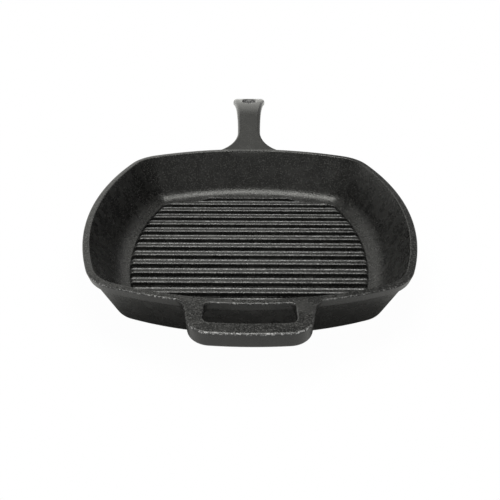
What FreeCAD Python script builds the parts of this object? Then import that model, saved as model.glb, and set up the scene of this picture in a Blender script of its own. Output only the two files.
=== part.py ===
import FreeCAD, Part
import math
import os

# Square cast-iron grill pan with a long handle, a helper handle and a ribbed floor.
# Frame: origin at the centre of the flat base, +Z up, +Y towards the long handle,
# -Y towards the helper handle.  All lengths in millimetres, all angles in degrees.

# Rim outline, seen from above: four bowed sides with rounded corners
rim_width = 280.0
rim_length = 280.0
side_bow_radius = 272.0
floor_corner_radius = 3.5

# Wall section
rim_height = 49.6
rim_top_width = 5.6
wall_lean = 24.5
wall_thickness = 4.5
lip_height = 7.0
lip_taper = 2.0
lip_underside_height = 2.2
inner_heel_radius = 14.0
outer_heel_radius = 17.0
heel_land = 0.4

# Floor and ribs
floor_thickness = 3.8
border_height = 3.3
rib_count = 14
first_rib_from_rim = 46.4
rib_top_width = 7.0
rib_height = 3.3
rib_side_draft = 8.0
rib_edge_round = 0.7
groove_side_margin = 0.8
groove_end_margin = 1.0
rib_end_gap = 1.6
end_groove_outer_length = 84.0
end_groove_inner_length = 106.0

# Helper handle
helper_width = 83.8
helper_side_lean = 12.0
helper_reach = 31.4
helper_thickness = 12.2
helper_corner_radius = 12.5
helper_root_fillet = 9.0
helper_root_edge = 1.2
helper_edge_round = 2.5
slot_length = 61.5
slot_width = 19.8
slot_corner_radius = 5.0

# Long handle
handle_neck_width = 25.2
handle_tip_width = 38.4
handle_tip_radius = 15.0
handle_thickness = 8.0
handle_rise = 19.0
handle_droop = 20.5
handle_run = 53.5
handle_bend_radius = 107.0
handle_root_fillet = 36.0
handle_root_edge = 3.0
handle_top_round = 3.5
handle_bottom_round = 2.5
handle_step_below_rim = 0.3
hang_hole_width = 15.0
hang_hole_length = 22.0
hang_hole_setback = 28.0

# Largest distance at which an edge still counts as lying on a face
touch = 0.2

vector = FreeCAD.Vector
up = vector(0, 0, 1)
lean = math.radians(wall_lean)
half_heel_turn = math.radians(90.0 - wall_lean) / 2.0
half_width = rim_width / 2.0
half_length = rim_length / 2.0
border_top = floor_thickness + border_height


def inner_inset(height):
    """Distance of the inner wall face in from the rim's outer edge, at a height."""
    return rim_top_width + (rim_height - height) * math.tan(lean)


def outer_inset(height):
    """Distance of the outer wall face in from the rim's outer edge, at a height."""
    return inner_inset(height) - wall_thickness / math.cos(lean)


def heel_points(corner_inset, level, radius):
    """Tangent points and middle of the round between a wall face and a level floor."""
    setback = radius * math.tan(half_heel_turn)
    on_floor = (corner_inset + setback, level)
    on_wall = (corner_inset - setback * math.sin(lean), level + setback * math.cos(lean))
    middle = (
        on_floor[0] - radius * math.sin(half_heel_turn),
        level + radius * (1.0 - math.cos(half_heel_turn)),
    )
    return on_floor, middle, on_wall


inner_floor, inner_middle, inner_wall = heel_points(
    inner_inset(border_top), border_top, inner_heel_radius
)
outer_floor, outer_middle, outer_wall = heel_points(outer_inset(0.0), 0.0, outer_heel_radius)
heel_inset = max(inner_floor[0], outer_floor[0]) + heel_land
wall_foot = max(inner_wall[1], outer_wall[1]) + heel_land
lip_bottom = rim_height - lip_height
wall_top = lip_bottom - lip_underside_height
rim_corner_radius = floor_corner_radius + heel_inset
lip_face = [(0.0, rim_height), (lip_taper, lip_bottom), (outer_inset(wall_top), wall_top)]


def rim_arcs():
    """The outline's eight arcs, anticlockwise: centre, radius, start and end angle."""
    east = vector(half_width - side_bow_radius, 0, 0)
    north = vector(0, half_length - side_bow_radius, 0)
    half_gap = (east - north).Length / 2.0
    reach = side_bow_radius - rim_corner_radius
    outward = vector(-north.y, -east.x, 0).normalize()
    corner = (east + north) * 0.5 + outward * math.sqrt(reach**2 - half_gap**2)
    left_corner = vector(-corner.x, corner.y, 0)
    side_turn = math.atan2(corner.y, corner.x - east.x)
    end_turn = math.atan2(corner.y - north.y, corner.x)
    half = [
        (east, side_bow_radius, -side_turn, side_turn),
        (corner, rim_corner_radius, side_turn, end_turn),
        (north, side_bow_radius, end_turn, math.pi - end_turn),
        (left_corner, rim_corner_radius, math.pi - end_turn, math.pi - side_turn),
    ]
    other_half = [(c * -1.0, radius, start + math.pi, end + math.pi) for c, radius, start, end in half]
    return half + other_half


def direction(angle):
    """Unit vector in the floor plane at an angle from +X."""
    return vector(math.cos(angle), math.sin(angle), 0)


def inset_face(inset, height):
    """Level face inside the rim outline moved in by an inset, at a height."""
    edges = []
    for centre, radius, start, end in rim_arcs():
        small = radius - inset
        points = [centre + direction(a) * small for a in (start, (start + end) / 2.0, end)]
        edges.append(Part.Arc(*points).toShape())
    face = Part.Face(Part.Wire(edges))
    face.translate(up * height)
    return face


def outline_face(stops, place):
    """Face inside a closed run of (u, v) stops; a stop with four numbers ends an arc."""
    edges = []
    for index, stop in enumerate(stops):
        first = place(*stops[index - 1][:2])
        last = place(*stop[:2])
        if len(stop) == 4:
            edges.append(Part.Arc(first, place(*stop[2:]), last).toShape())
        else:
            edges.append(Part.LineSegment(first, last).toShape())
    return Part.Face(Part.Wire(edges))


def ring(stops):
    """Solid ring that carries one (inset, height) wall section round the rim outline."""
    sectors = []
    for centre, radius, start, end in rim_arcs():
        out = direction(start)
        face = outline_face(stops, lambda inset, height: centre + out * (radius - inset) + up * height)
        sectors.append(face.revolve(centre, up, math.degrees(end - start)))
    return sectors[0].multiFuse(sectors[1:]).removeSplitter().Solids[0]


def outer_block():
    """The pan's outside shape as one filled solid, used to trim the handle roots."""
    foot = [outer_wall, outer_floor + outer_middle, (heel_inset, 0.0), (heel_inset, rim_height)]
    core = inset_face(heel_inset, 0.0).extrude(up * rim_height)
    return ring(lip_face + foot).fuse(core).removeSplitter()


def make_rim_lip():
    """Thickened band round the top of the wall, with a flat top."""
    return ring(lip_face + [(inner_inset(wall_top), wall_top), (rim_top_width, rim_height)])


def make_side_wall():
    """Leaning wall between the lip and the rounded heel."""
    return ring(
        [
            (outer_inset(wall_top), wall_top),
            (outer_inset(wall_foot), wall_foot),
            (inner_inset(wall_foot), wall_foot),
            (inner_inset(wall_top), wall_top),
        ]
    )


def make_floor_heel():
    """Rounded turn from the wall into the floor."""
    return ring(
        [
            (outer_inset(wall_foot), wall_foot),
            outer_wall,
            outer_floor + outer_middle,
            (heel_inset, 0.0),
            (heel_inset, border_top),
            inner_floor,
            inner_wall + inner_middle,
            (inner_inset(wall_foot), wall_foot),
        ]
    )


def make_base_plate():
    """Flat plate that the pan stands on and the ribs rise from."""
    return inset_face(heel_inset, 0.0).extrude(up * floor_thickness)


rib_pitch = (rim_length - 2.0 * first_rib_from_rim) / (rib_count - 1)
rib_foot_width = rib_top_width + 2.0 * rib_height * math.tan(math.radians(rib_side_draft))
rib_top = floor_thickness + rib_height
rib_field_half = (rib_count - 1) * rib_pitch / 2.0 + rib_foot_width / 2.0
end_groove_half = rib_field_half + rib_pitch - rib_foot_width


def clip_to_floor(solid, side_gap):
    """Keep the part of a solid inside the floor's margins and a gap beside them."""
    east, _, north, _, west, _, south, _ = rim_arcs()
    side_margin = groove_side_margin + side_gap
    margins = (side_margin, groove_end_margin, side_margin, groove_end_margin)
    for (centre, radius, _, _), margin in zip((east, north, west, south), margins):
        solid = solid.common(Part.makeCylinder(radius - heel_inset - margin, rim_height, centre))
    return solid


def rib_field(side_gap):
    """Space of the ribs and the grooves between them, short of its sides by a gap."""
    corner = vector(-half_width, -rib_field_half, floor_thickness)
    return clip_to_floor(Part.makeBox(rim_width, 2.0 * rib_field_half, rib_height, corner), side_gap)


def end_groove(side):
    """Short groove beyond the last rib, with slanted ends; side is +1 or -1."""
    inner = end_groove_inner_length / 2.0
    outer = end_groove_outer_length / 2.0
    near = side * rib_field_half
    far = side * end_groove_half
    stops = [(-inner, near), (inner, near), (outer, far), (-outer, far)]
    face = outline_face(stops, lambda x, y: vector(x, y, floor_thickness))
    return clip_to_floor(face.extrude(up * rib_height), 0.0)


def make_floor_border():
    """Raised margin of the floor, round the ribs, that the wall's heel runs into."""
    border = inset_face(heel_inset, floor_thickness).extrude(up * border_height)
    for space in (rib_field(0.0), end_groove(1.0), end_groove(-1.0)):
        border = border.cut(space)
    return border.removeSplitter().Solids[0]


def round_edges(solid, wanted, radius):
    """Round the edges of a solid that a test picks out."""
    return solid.makeFillet(radius, [edge for edge in solid.Edges if wanted(edge)])


def make_rib(index, room):
    """One straight rib across the floor, with drafted sides and eased top edges."""
    middle = (index - (rib_count - 1) / 2.0) * rib_pitch
    foot = rib_foot_width / 2.0
    top = rib_top_width / 2.0
    stops = [
        (middle - foot, floor_thickness),
        (middle + foot, floor_thickness),
        (middle + top, rib_top),
        (middle - top, rib_top),
    ]
    section = outline_face(stops, lambda y, z: vector(-half_width, y, z))

    def is_top_edge(edge):
        lies_along = edge.BoundBox.XLength > rim_width - touch
        return lies_along and edge.BoundBox.ZMin > rib_top - touch

    bar = section.extrude(vector(rim_width, 0, 0))
    return round_edges(bar, is_top_edge, rib_edge_round).common(room).Solids[0]


# Handle outlines are drawn from the centre of the bowed side that the handle stands on:
# u runs across the handle and v outwards, so the side's outer edge is the bow's own circle.
# A root is drawn on into the pan, down to root_depth, and then trimmed to the outside shape;
# its flare stops short of the side by a blunt edge.
root_depth = side_bow_radius - outer_inset(0.0)


def arc_stop(centre, radius, start, end):
    """Stop that ends an arc about a (u, v) centre."""
    towards_start = vector(start[0] - centre[0], start[1] - centre[1], 0)
    towards_end = vector(end[0] - centre[0], end[1] - centre[1], 0)
    spoke = (towards_start + towards_end).normalize() * radius
    return (end[0], end[1], centre[0] + spoke.x, centre[1] + spoke.y)


def flared_root(half, fillet, blunt_edge):
    """Right-hand stops of a handle's root, up to where its fillet meets its side."""
    root_circle = side_bow_radius + blunt_edge
    centre = (half + fillet, math.sqrt((root_circle + fillet) ** 2 - (half + fillet) ** 2))
    shrink = root_circle / (root_circle + fillet)
    on_rim = (centre[0] * shrink, centre[1] * shrink)
    inside = (on_rim[0] * root_depth / root_circle, on_rim[1] * root_depth / root_circle)
    return [inside, on_rim, arc_stop(centre, fillet, on_rim, (half, centre[1]))]


def bowed_end(half, end_circle, corner):
    """Right-hand stops of a rounded corner between a straight side and a bowed end."""
    centre = (half - corner, math.sqrt((end_circle - corner) ** 2 - (half - corner) ** 2))
    grow = end_circle / (end_circle - corner)
    side = (half, centre[1])
    return [side, arc_stop(centre, corner, side, (centre[0] * grow, centre[1] * grow))]


def mirrored(stops, far_middle):
    """Stops of a whole outline from its right side; far_middle bows its far edge, if given."""
    left = [(-stops[-1][0], stops[-1][1]) + far_middle]
    for nearer, farther in zip(stops[-2::-1], stops[:0:-1]):
        bend = (-farther[2], farther[3]) if len(farther) == 4 else ()
        left.append((-nearer[0], nearer[1]) + bend)
    return stops + left


def turned(stops, angle):
    """Stops turned about the centre of a side's bow, so that an upright side leans inwards."""
    across, along = math.cos(angle), math.sin(angle)
    spun = []
    for stop in stops:
        pairs = zip(stop[0::2], stop[1::2])
        places = [(u * across - v * along, u * along + v * across) for u, v in pairs]
        spun.append(sum(places, ()))
    return spun


def make_helper_handle(block):
    """Short loop at the front, level with the rim, with a slot for the fingers."""
    side_lean = math.radians(helper_side_lean)
    mid_reach = side_bow_radius + helper_reach / 2.0
    half = helper_width / 2.0 * math.cos(side_lean) + mid_reach * math.sin(side_lean)
    slot_half = slot_length / 2.0
    front_circle = side_bow_radius + helper_reach
    slot_circle = side_bow_radius + slot_width
    bottom = rim_height - helper_thickness

    def place(u, v):
        return vector(u, side_bow_radius - half_length - v, bottom)

    root = flared_root(half, helper_root_fillet, helper_root_edge)
    room = (front_circle**2 - half**2 - root[-1][1] ** 2) / (2.0 * (front_circle - half))
    front = bowed_end(half, front_circle, min(helper_corner_radius, room - touch))
    side = turned(root + front, side_lean)
    outline = outline_face(mirrored(side, (0.0, front_circle)), place)
    loop = outline.extrude(up * helper_thickness)

    def is_lower_rim(edge):
        outside = place(0.0, side_bow_radius + touch).y
        return edge.BoundBox.ZMax < bottom + touch and edge.CenterOfMass.y < outside

    loop = round_edges(loop, is_lower_rim, helper_edge_round)
    slot_side = [(slot_half, root_depth)] + bowed_end(slot_half, slot_circle, slot_corner_radius)
    slot = outline_face(mirrored(slot_side, (0.0, slot_circle)), place)
    loop = loop.cut(slot.extrude(up * helper_thickness))
    return loop.cut(block).removeSplitter().Solids[0]


rise = math.radians(handle_rise)
droop = math.radians(handle_droop)
handle_start = vector(0, half_length, rim_height - handle_step_below_rim)
bend_start = handle_start + vector(0, handle_run, handle_run * math.tan(rise))
bend_centre = bend_start + vector(0, math.sin(rise), -math.cos(rise)) * handle_bend_radius
handle_tip = bend_centre.y + handle_bend_radius * math.sin(droop)


def on_bend(angle, depth):
    """Point on the handle's bend, at a slope angle and a depth under its top."""
    return bend_centre + vector(0, -math.sin(angle), math.cos(angle)) * (handle_bend_radius - depth)


def depth_under_top(point):
    """How far a point lies under the handle's top face, square to it."""
    if point.y < bend_start.y:
        return (handle_start - point).dot(vector(0, -math.sin(rise), math.cos(rise)))
    spoke = point - bend_centre
    return handle_bend_radius - math.hypot(spoke.y, spoke.z)


def handle_slab():
    """The handle seen from the side, a straight rise and one long bend, as a wide slab."""
    along = vector(0, math.cos(rise), math.sin(rise))
    below = vector(0, math.sin(rise), -math.cos(rise)) * handle_thickness
    start = handle_start - along * (side_bow_radius - root_depth)
    end = -droop - handle_thickness / handle_bend_radius
    middle = (rise + end) / 2.0
    top = Part.Arc(bend_start, on_bend(middle, 0.0), on_bend(end, 0.0))
    under = Part.Arc(
        on_bend(end, handle_thickness),
        on_bend(middle, handle_thickness),
        bend_start + below,
    )
    wire = Part.Wire(
        [
            Part.LineSegment(start, bend_start).toShape(),
            top.toShape(),
            Part.LineSegment(on_bend(end, 0.0), on_bend(end, handle_thickness)).toShape(),
            under.toShape(),
            Part.LineSegment(bend_start + below, start + below).toShape(),
            Part.LineSegment(start + below, start).toShape(),
        ]
    )
    slab = Part.Face(wire)
    slab.translate(vector(-half_width, 0, 0))
    return slab.extrude(vector(rim_width, 0, 0))


def handle_side():
    """Right-hand stops of the long handle: flared root, hollow side and rounded tip."""
    half = handle_neck_width / 2.0
    root = flared_root(half, handle_root_fillet, handle_root_edge)
    neck = root[-1][1]
    tip = handle_tip - half_length + side_bow_radius
    corner = (handle_tip_width / 2.0 - handle_tip_radius, tip - handle_tip_radius)
    narrowing = half - corner[0]
    length = corner[1] - neck
    swell = handle_tip_radius - narrowing
    hollow_radius = (narrowing**2 + length**2 - handle_tip_radius**2) / (2.0 * swell)
    hollow = (half + hollow_radius, neck)
    share = hollow_radius / (hollow_radius + handle_tip_radius)
    shoulder = (
        hollow[0] + (corner[0] - hollow[0]) * share,
        hollow[1] + (corner[1] - hollow[1]) * share,
    )
    return root + [
        arc_stop(hollow, hollow_radius, (half, neck), shoulder),
        arc_stop(corner, handle_tip_radius, shoulder, (corner[0], tip)),
    ]


def hang_hole():
    """Long round-ended hole near the tip, square to the handle's top, as a cutting prism."""
    angle = -droop + hang_hole_setback / handle_bend_radius
    outward = vector(0, -math.sin(angle), math.cos(angle))
    along = vector(0, math.cos(angle), math.sin(angle))
    reach = handle_thickness + hang_hole_length
    start = on_bend(angle, reach)
    half = hang_hole_width / 2.0
    straight = hang_hole_length / 2.0 - half
    stops = [
        (half, -straight, 0.0, -straight - half),
        (half, straight),
        (-half, straight, 0.0, straight + half),
        (-half, -straight),
    ]
    face = outline_face(stops, lambda u, v: start + vector(u, 0, 0) + along * v)
    return face.extrude(outward * 2.0 * reach)


def make_long_handle(block):
    """Long arched handle with a flared root, a wide rounded tip and a hanging hole."""
    outline = outline_face(
        mirrored(handle_side(), ()),
        lambda u, v: vector(u, half_length - side_bow_radius + v, 0),
    )
    bar = outline.extrude(up * (rim_height + handle_tip)).common(handle_slab())

    def is_outer(edge):
        box = edge.BoundBox
        runs_across = box.YLength < touch and box.YMax < handle_tip - handle_tip_radius
        return box.YMax > half_length + touch and not runs_across

    def is_on_top(edge):
        return is_outer(edge) and all(depth_under_top(v.Point) < touch for v in edge.Vertexes)

    def is_underneath(edge):
        bottom = handle_thickness - touch
        return is_outer(edge) and all(depth_under_top(v.Point) > bottom for v in edge.Vertexes)

    bar = round_edges(bar, is_on_top, handle_top_round)
    bar = round_edges(bar, is_underneath, handle_bottom_round)
    return bar.cut(hang_hole()).cut(block).removeSplitter().Solids[0]


def main():
    """Build every piece and write one file for each."""
    os.makedirs("parts", exist_ok=True)
    block = outer_block()
    rib_room = rib_field(rib_end_gap)
    pieces = {
        "base_plate": make_base_plate(),
        "floor_border": make_floor_border(),
        "floor_heel": make_floor_heel(),
        "side_wall": make_side_wall(),
        "rim_lip": make_rim_lip(),
        "helper_handle": make_helper_handle(block),
    }
    for index in range(rib_count):
        pieces[f"rib_{index + 1:02d}"] = make_rib(index, rib_room)
    pieces["long_handle"] = make_long_handle(block)
    for name, solid in pieces.items():
        solid.exportStep(f"parts/{name}.step")
        print(name, solid.ShapeType, solid.isValid(), round(solid.Volume / 1000.0, 2))


main()
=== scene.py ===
import logging
import math
from dataclasses import dataclass
from enum import Enum
from itertools import pairwise
from typing import Sequence

import bmesh
import bpy
import numpy as np
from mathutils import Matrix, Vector
from mathutils.geometry import delaunay_2d_cdt


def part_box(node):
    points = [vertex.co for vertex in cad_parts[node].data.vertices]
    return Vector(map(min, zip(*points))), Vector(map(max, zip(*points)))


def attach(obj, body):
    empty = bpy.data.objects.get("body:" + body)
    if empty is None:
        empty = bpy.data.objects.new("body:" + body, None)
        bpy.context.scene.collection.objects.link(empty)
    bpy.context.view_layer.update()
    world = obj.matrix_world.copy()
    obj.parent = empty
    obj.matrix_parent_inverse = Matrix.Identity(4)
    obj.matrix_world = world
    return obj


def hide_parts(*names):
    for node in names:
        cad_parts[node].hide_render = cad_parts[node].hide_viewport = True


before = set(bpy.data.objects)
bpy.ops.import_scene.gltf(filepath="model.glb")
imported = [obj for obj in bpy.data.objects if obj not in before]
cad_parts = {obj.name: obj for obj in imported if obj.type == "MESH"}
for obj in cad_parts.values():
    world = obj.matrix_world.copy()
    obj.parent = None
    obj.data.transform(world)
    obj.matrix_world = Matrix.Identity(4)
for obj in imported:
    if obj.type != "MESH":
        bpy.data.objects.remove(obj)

# Sizes are written in millimetres and become metres as a mesh or a node socket is made.
MM = 0.001
BODY = "root"
SLOT = "seasoned_iron"
# Mesh attribute for how pale an edge is: partly real worn metal, partly painted highlight.
WEAR_AND_HIGHLIGHT = "wear_and_highlight"
BESIDE = "beside"
RAYS = ("Camera", "Glossy", "Transmission")
WHITE = (1.0, 1.0, 1.0, 1.0)
# Middle of the values that noise takes.
NOISE_MIDDLE = 0.5
# Straight run beside a rounded edge: it gives the edge its direction and is then dropped.
LEAD = 2.0
# Power that gathers an edge's worn paleness and painted highlight to the middle of its round.
WEAR_AND_HIGHLIGHT_FOCUS = 3
# Share of its upper edge's worn paleness and painted highlight that a handle's lower edge has.
LOWER_WEAR_AND_HIGHLIGHT = 0.4
# Least value in moved_out's divisor, so that a sharp corner isn't thrown far out.
MITRE_LIMIT = 0.5
# Points nearer to each other than this are one point to a cap.
SAME_POINT = 1e-7
# Weight of large faces in the shading; 50 is neutral, and above it they lead their small neighbours.
FLAT_LEAD = 80

Plan = tuple[float, float]
Span = tuple[float, float]
Space = tuple[float, float, float]
WornAndHighlit = tuple[float, float, float]
Arc = tuple[Plan, float, float, float, int]
Settings = dict[str, object] | None
Sockets = dict[str | int, object] | None

log = logging.getLogger("grill_pan")


class Skin(Enum):
    """Part of the casting that a finish is for."""

    BOWL = "bowl"
    RIBS = "ribs"
    HELPER = "helper"
    HANDLE = "handle"


class Wire:
    """One node socket; sums and products of wires add Math nodes to its board."""

    def __init__(self, board: "Board", socket: bpy.types.NodeSocket) -> None:
        """Keep the socket and the board that it sits on."""
        self.board = board
        self.socket = socket

    def __add__(self, other: "Wire | float") -> "Wire":
        """This value plus another."""
        return self.board.maths("ADD", self, other)

    def __mul__(self, other: "Wire | float") -> "Wire":
        """This value times another."""
        return self.board.maths("MULTIPLY", self, other)

    # Sums and products are the same either way round.
    __radd__ = __add__
    __rmul__ = __mul__

    def __sub__(self, other: "Wire | float") -> "Wire":
        """This value less another."""
        return self.board.maths("SUBTRACT", self, other)

    def __rsub__(self, other: float) -> "Wire":
        """A number less this value."""
        return self.board.maths("SUBTRACT", other, self)

    def __abs__(self) -> "Wire":
        """This value without its sign."""
        return self.board.maths("ABSOLUTE", self)

    def root(self) -> "Wire":
        """Square root of this value, with nothing below nought."""
        return self.board.maths("SQRT", self.most(0.0))

    def least(self, other: "Wire | float") -> "Wire":
        """The smaller of this value and another."""
        return self.board.maths("MINIMUM", self, other)

    def most(self, other: "Wire | float") -> "Wire":
        """The larger of this value and another."""
        return self.board.maths("MAXIMUM", self, other)

    def ease(self, low: "Wire | float", high: "Wire | float") -> "Wire":
        """Smooth step of this value from 0 at low to 1 at high."""
        sockets = {"Value": self, "From Min": low, "From Max": high}
        return self.board.wire("ShaderNodeMapRange", {"interpolation_type": "SMOOTHSTEP"}, sockets)

    def over(self, span: Span) -> "Wire":
        """Smooth step of a length in metres over a span that is written in millimetres."""
        return self.ease(span[0] * MM, span[1] * MM)


class Board:
    """A node tree that is filled from Python expressions."""

    def __init__(self, tree: bpy.types.NodeTree) -> None:
        """Keep the tree."""
        self.tree = tree

    @classmethod
    def blank(cls, owner: bpy.types.Material | bpy.types.World) -> "Board":
        """Empty the node tree of a new material or world.

        Args:
            owner: The material or world.

        Returns:
            A board on its tree.
        """
        owner.use_nodes = True
        owner.node_tree.nodes.clear()
        return cls(owner.node_tree)

    def node(self, kind: str, settings: Settings = None, sockets: Sockets = None) -> bpy.types.Node:
        """Add one node of any kind.

        Args:
            kind: Blender's name for the node type.
            settings: The node's own settings, which are set first.
            sockets: A value or a wire for each named or numbered input.

        Returns:
            The new node.
        """
        made = self.tree.nodes.new(kind)
        for name, value in (settings or {}).items():
            setattr(made, name, value)
        for name, value in (sockets or {}).items():
            if isinstance(value, Wire):
                self.tree.links.new(value.socket, made.inputs[name])
            else:
                made.inputs[name].default_value = value
        return made

    def wire(
        self, kind: str, settings: Settings = None, sockets: Sockets = None, out: str | int = 0
    ) -> Wire:
        """Add one node and take one of its outputs as a wire."""
        return Wire(self, self.node(kind, settings, sockets).outputs[out])

    def maths(self, operation: str, first: Wire | float, second: Wire | float = 0.0) -> Wire:
        """Add one Math node."""
        return self.wire("ShaderNodeMath", {"operation": operation}, {0: first, 1: second})

    def mix(self, share: Wire, first: object, second: object) -> Wire:
        """Mix two colours by a share; the numbers are those of the node's colour sockets."""
        sockets = {0: share, 6: first, 7: second}
        return self.wire("ShaderNodeMix", {"data_type": "RGBA"}, sockets, 2)

    def blend(self, share: Wire, first: Wire, second: Wire) -> Wire:
        """Mix two shaders by a share."""
        return self.wire("ShaderNodeMixShader", {}, {0: share, 1: first, 2: second})

    def parts(self, vector: Wire) -> list[Wire]:
        """The three numbers of a vector."""
        split = self.node("ShaderNodeSeparateXYZ", {}, {0: vector})
        return [Wire(self, out) for out in split.outputs]

    def place(self) -> Wire:
        """The object's own coordinates, in metres."""
        return self.wire("ShaderNodeTexCoord", out="Object")

    def attribute(self, name: str) -> Wire:
        """A number that the mesh holds at each point."""
        return self.wire("ShaderNodeAttribute", {"attribute_name": name}, out="Fac")

    def rays(self) -> list[Wire]:
        """Whether a ray comes from the camera, off a glossy surface or through a clear one."""
        path = self.node("ShaderNodeLightPath")
        return [Wire(self, path.outputs[f"Is {kind} Ray"]) for kind in RAYS]


@dataclass(frozen=True)
class Mottle:
    """A layer of noise: size and detail of its spots, the values they fade between, how rough it is."""

    period: float
    detail: float
    fade: Span
    rough: float = 0.5

    def noise(self, board: Board, place: Wire) -> Wire:
        """The layer's plain noise."""
        sizes = {"Scale": 1.0 / (self.period * MM), "Detail": self.detail, "Roughness": self.rough}
        return board.wire("ShaderNodeTexNoise", {}, {"Vector": place, **sizes})

    def spots(self, board: Board, place: Wire) -> Wire:
        """The layer's spots: 1 on them and 0 between them."""
        return self.noise(board, place).ease(*self.fade)


@dataclass(frozen=True)
class SeasonedIron:
    """Sand-cast iron under a baked film of oil: dark and grainy, paler on edges, which are worn and carry
    painted highlights.
    """

    skin: Skin
    film: Space = (0.0008, 0.0008, 0.0008)
    dust: Space = (0.0520, 0.0517, 0.0505)
    # Pale colour of worn edges, also used to paint highlights on edges.
    rubbed_and_highlit: Space = (0.415, 0.415, 0.425)
    cloud: Mottle = Mottle(40.0, 3.0, (0.34, 0.68))
    patch: Mottle = Mottle(9.0, 3.0, (0.38, 0.66))
    fleck: Mottle = Mottle(1.25, 1.5, (0.54, 0.66))
    grain: Mottle = Mottle(1.25, 2.5, (0.50, 0.62), 0.65)
    cloud_share: float = 0.10
    patch_share: float = 0.10
    fleck_share: float = 0.80
    crystal_period: float = 1.125
    crystal_share: float = 0.5
    grain_height: float = 0.27
    level_facing: Span = (0.05, 0.30)
    steep_fleck: float = 0.30
    steep_smoothing: float = 0.75
    roughness: float = 0.28
    patch_roughness: float = 0.10
    grain_roughness: float = 0.20
    edge_shine: float = 0.10
    refraction: float = 1.52
    oil: float = 0.0
    oil_roughness: float = 0.2
    rub_and_highlight_base: float = 0.10
    rub_and_highlight_streak: float = 0.80

    def wear_and_highlight(self, board: Board) -> Wire:
        """How pale each spot is, worn and with a painted highlight, as the mesh has it."""
        return board.attribute(WEAR_AND_HIGHLIGHT)

    def material(self) -> bpy.types.Material:
        """Build the node material of this finish.

        Returns:
            A material whose pattern runs on Object coordinates.
        """
        made = bpy.data.materials.new(f"{SLOT}_{self.skin.value}")
        board = Board.blank(made)
        place = board.place()
        layers = (self.cloud, self.patch, self.fleck)
        cloud, patch, fleck = (layer.spots(board, place) for layer in layers)
        grain = self.grain.noise(board, place)
        streak = grain.ease(*self.grain.fade)
        crystal = board.wire(
            "ShaderNodeTexVoronoi",
            {"feature": "F1"},
            {"Vector": place, "Scale": 1.0 / (self.crystal_period * MM)},
            "Distance",
        )
        upward = board.parts(board.wire("ShaderNodeNewGeometry", out="Normal"))[2]
        steep = 1.0 - upward.ease(*self.level_facing)
        fleck = fleck + (self.steep_fleck - fleck) * steep
        # Worn edges and painted edge highlights pull the colour towards the pale one.
        rub_and_highlight = (self.wear_and_highlight(board) * (self.rub_and_highlight_base + self.rub_and_highlight_streak * streak)).least(1.0)

        dusty = self.cloud_share * cloud + self.patch_share * patch + self.fleck_share * fleck
        colour = board.mix(dusty.least(1.0), (*self.film, 1.0), (*self.dust, 1.0))
        colour = board.mix(rub_and_highlight, colour, (*self.rubbed_and_highlit, 1.0))
        rough = self.roughness + self.patch_roughness * (patch - NOISE_MIDDLE)
        rough = rough + self.grain_roughness * (grain - NOISE_MIDDLE) - self.edge_shine * rub_and_highlight
        height = (grain + self.crystal_share * crystal) * (1.0 - self.steep_smoothing * steep)
        bump = {"Strength": 1.0, "Distance": self.grain_height * MM, "Height": height}
        iron = {
            "Base Color": colour,
            "Roughness": rough,
            "Normal": board.wire("ShaderNodeBump", {}, bump),
            "IOR": self.refraction,
            "Coat Weight": self.oil,
            "Coat Roughness": self.oil_roughness,
        }
        shader = board.wire("ShaderNodeBsdfPrincipled", {}, iron)
        board.node("ShaderNodeOutputMaterial", {}, {"Surface": shader})
        return made


@dataclass(frozen=True)
class HandledIron(SeasonedIron):
    """The same iron smoothed by the hand, as on the long handle."""

    film: Space = (0.0125, 0.0125, 0.0120)
    dust: Space = (0.0280, 0.0279, 0.0270)
    roughness: float = 0.25
    grain_height: float = 0.09
    oil: float = 0.3


@dataclass(frozen=True)
class RibIron(SeasonedIron):
    """The same iron on the ribs: both long edges are worn pale and carry a painted highlight, the rear one
    more, as the light catches it.

    The spans are distances from a rib's middle line, and for the top edge heights above the base.
    """

    rub_and_highlight_base: float = 0.30
    # The front edge gets this share of the rear edge's paleness, as its painted highlight is weaker.
    front_highlight_share: float = 0.40
    rear_edge: Span = (0.95, 1.75)
    front_edge: Span = (2.05, 2.75)
    side_face: Span = (3.45, 3.70)
    top_edge: Span = (6.1, 6.8)

    def wear_and_highlight(self, board: Board) -> Wire:
        """How pale each spot is, worn and with a painted edge highlight, from its place across its rib and
        its height.

        Args:
            board: The material's board.

        Returns:
            The share of wear.
        """
        beside = board.attribute(BESIDE)
        height = board.parts(board.place())[2]
        rear = beside.over(self.rear_edge)
        front = (-1.0 * beside).over(self.front_edge)
        side = abs(beside).over(self.side_face)
        return (rear + self.front_highlight_share * front) * (1.0 - side) * height.over(self.top_edge)


@dataclass(frozen=True)
class Stop:
    """A corner of a run of lines, with the round that eases it and how pale the round is, worn and with a
    painted highlight.
    """

    across: float
    along: float
    radius: float = 0.0
    wear_and_highlight: float = 0.0
    steps: int = 7


def arc_points(centre: Plan, radius: float, start: float, end: float, steps: int) -> list[Plan]:
    """Points on an arc, both ends included, from one angle to another."""
    turns = [start + (end - start) * step / steps for step in range(steps + 1)]
    return [(centre[0] + radius * math.cos(a), centre[1] + radius * math.sin(a)) for a in turns]


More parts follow.
